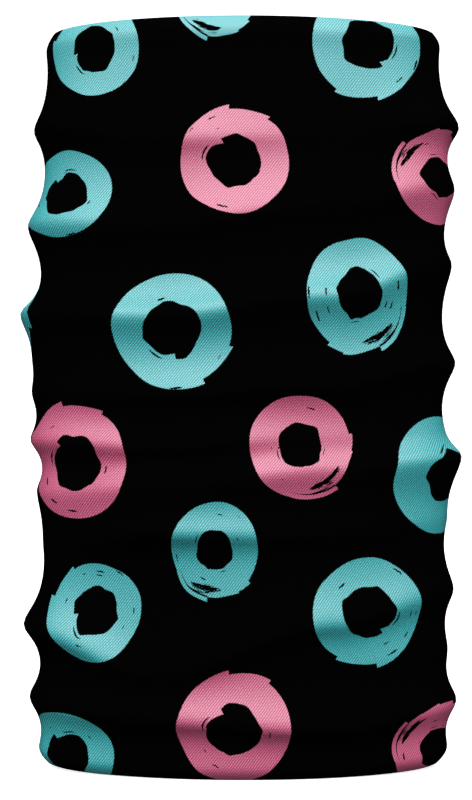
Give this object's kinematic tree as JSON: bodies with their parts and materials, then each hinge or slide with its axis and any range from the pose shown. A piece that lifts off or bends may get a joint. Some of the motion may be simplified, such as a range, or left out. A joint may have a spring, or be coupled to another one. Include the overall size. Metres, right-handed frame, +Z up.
{
  "type": "neck gaiter",
  "caption": "Printed knit tube worn round the neck and face, closed down the back by a flatlock seam with a care label inside.",
  "frame": {"origin": "in the plane of the bottom rim, under the middle of the tube", "axes": "+Z up the tube towards its top rim, the front of the tube faces -Y, the seam is at +Y, +X is to the right when the front is seen"},
  "size_m": [0.2524, 0.0704, 0.423],
  "materials": {
    "printed_knit": "smooth polyester jersey, black with brushed teal and pink rings printed on its outer face",
    "seam_thread": "matt black textured polyester thread",
    "label_satin": "white woven satin, blank"
  },
  "bodies": {
    "tube": {"tube_panel": "printed_knit", "needle_thread_1": "seam_thread", "needle_thread_2": "seam_thread", "needle_thread_3": "seam_thread", "needle_thread_4": "seam_thread", "cover_thread": "seam_thread", "looper_thread": "seam_thread", "top_tack": "seam_thread", "bottom_tack": "seam_thread"},
    "label": {"care_label": "label_satin"}
  },
  "joints": [
    {"name": "label_flip", "type": "hinge", "parent": "tube", "child": "label", "pos_m": [0.00164, 0.02269, 0.342], "axis": [0, 0, -1], "range_deg": [-7, 167]}
  ]
}
